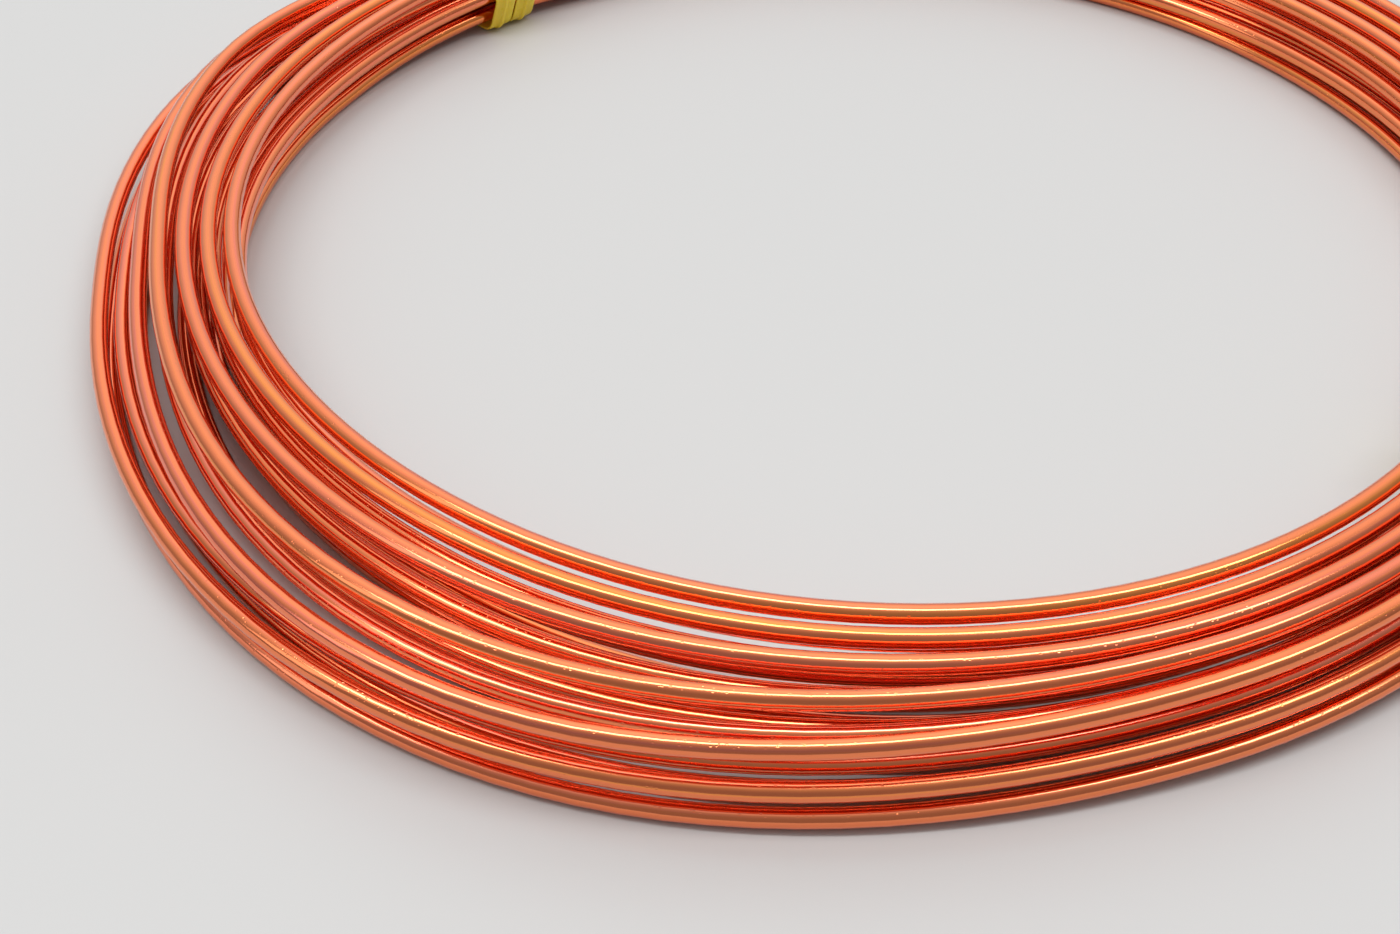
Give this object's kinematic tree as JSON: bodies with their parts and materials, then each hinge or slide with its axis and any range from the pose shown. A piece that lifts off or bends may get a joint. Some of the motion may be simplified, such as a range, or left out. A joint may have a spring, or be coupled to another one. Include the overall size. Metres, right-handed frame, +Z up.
{
  "type": "wire coil",
  "caption": "Loose round coil of stiff bare copper wire, piled in layers and held by plastic twist ties, with an open eye to hang it by",
  "frame": {"origin": "the middle of the coil's eye, on the surface that the coil lies on", "axes": "+Z is up, along the axis of the coil; -Y is the front, which the picture looks at; +X is to the right of it"},
  "size_m": [0.1778, 0.1771, 0.0174],
  "materials": {
    "copper": "bright drawn copper, a little oily",
    "ribbon": "thin yellow plastic ribbon",
    "core": "thin annealed steel wire"
  },
  "bodies": {
    "root": {"wire_coil": "copper", "back_tie": "ribbon", "back_tie_core": "core", "front_tie": "ribbon", "front_tie_core": "core"}
  },
  "joints": []
}
